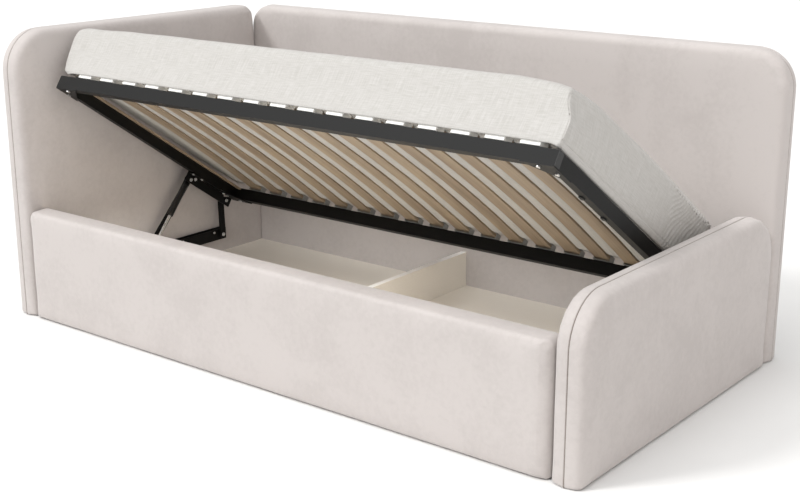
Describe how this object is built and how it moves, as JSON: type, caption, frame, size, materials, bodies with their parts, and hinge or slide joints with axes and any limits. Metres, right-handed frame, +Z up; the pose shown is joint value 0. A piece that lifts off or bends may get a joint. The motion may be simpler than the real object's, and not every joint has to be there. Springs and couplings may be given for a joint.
{
  "type": "storage bed",
  "caption": "Upholstered single bed with a tall head and back panel, a low foot, and a slatted frame that lifts at the front over a divided storage box.",
  "frame": {"origin": "on the floor, under the middle of the bed's outer box", "axes": "+X along the bed from the head to the foot, +Y from the open front to the back panel, +Z up"},
  "size_m": [2.12, 1.14, 0.918],
  "materials": {
    "velvet": "matte",
    "board": "matte",
    "laminate": "satin",
    "birch": "satin",
    "black_steel": "satin",
    "zinc_steel": "satin",
    "rod_chrome": "polished",
    "white_plastic": "satin",
    "black_plastic": "matte",
    "linen": "matte"
  },
  "bodies": {
    "base": {"head_core": "board", "head_inner_pad": "velvet", "head_outer_pad": "velvet", "back_core": "board", "back_inner_pad": "velvet", "back_outer_pad": "velvet", "foot_core": "board", "foot_inner_pad": "velvet", "foot_outer_pad": "velvet", "panel_welts": "velvet", "front_rail_core": "board", "front_rail_pad": "velvet", "rail_ledge": "board", "floor_left": "laminate", "floor_right": "laminate", "divider": "laminate", "batten_front": "board", "batten_rear": "board", "batten_screws": "zinc_steel", "corner_angles": "zinc_steel", "wall_channel_left": "black_steel", "wall_channel_right": "black_steel", "base_pins": "zinc_steel"},
    "front_links": {"front_link_left": "black_steel", "front_link_right": "black_steel"},
    "rear_links": {"rear_link_left": "black_steel", "rear_link_right": "black_steel"},
    "lift_frame": {"frame_front_tube": "black_steel", "frame_rear_tube": "black_steel", "frame_left_tube": "black_steel", "frame_right_tube": "black_steel", "side_battens": "birch", "tube_plugs": "black_plastic", "corner_plates": "black_steel", "corner_bolts": "zinc_steel", "slat_01": "birch", "slat_02": "birch", "slat_03": "birch", "slat_04": "birch", "slat_05": "birch", "slat_06": "birch", "slat_07": "birch", "slat_08": "birch", "slat_09": "birch", "slat_10": "birch", "slat_11": "birch", "slat_12": "birch", "slat_13": "birch", "slat_14": "birch", "slat_15": "birch", "slat_16": "birch", "slat_17": "birch", "slat_holders": "white_plastic", "mattress": "linen", "frame_bracket_left": "black_steel", "frame_bracket_right": "black_steel"},
    "strut_cylinders": {"strut_cylinder_left": "black_steel", "strut_cylinder_right": "black_steel"},
    "strut_rods": {"strut_rod_left": "rod_chrome", "strut_rod_right": "rod_chrome"}
  },
  "joints": [
    {"name": "front_link_pivot", "type": "hinge", "parent": "base", "child": "front_links", "pos_m": [0, -0.128, 0.111], "axis": [1, 0, 0], "range_deg": [-40.49, 0]},
    {"name": "frame_pivot", "type": "hinge", "parent": "front_links", "child": "lift_frame", "pos_m": [0, 0.09083, 0.34654], "axis": [1, 0, 0], "range_deg": [0, 74.6]},
    {"name": "rear_link_pivot", "type": "hinge", "parent": "base", "child": "rear_links", "pos_m": [0, 0.2425, 0.1095], "axis": [1, 0, 0], "range_deg": [-77.56, 0]},
    {"name": "strut_pivot", "type": "hinge", "parent": "lift_frame", "child": "strut_cylinders", "pos_m": [0, 0.07018, 0.34905], "axis": [1, 0, 0], "range_deg": [-72.66, 0]},
    {"name": "strut_stroke", "type": "slide", "parent": "strut_cylinders", "child": "strut_rods", "axis": [0, -0.6369, -0.771], "range_m": [-0.02235, 0]}
  ],
  "couplings": [
    {"joint": "frame_pivot", "follows": "front_link_pivot", "ratio": -1.8421},
    {"joint": "rear_link_pivot", "follows": "front_link_pivot", "ratio": 1.9152},
    {"joint": "strut_pivot", "follows": "front_link_pivot", "ratio": 1.794},
    {"joint": "strut_stroke", "follows": "front_link_pivot", "m_per_rad": 0.031606}
  ]
}
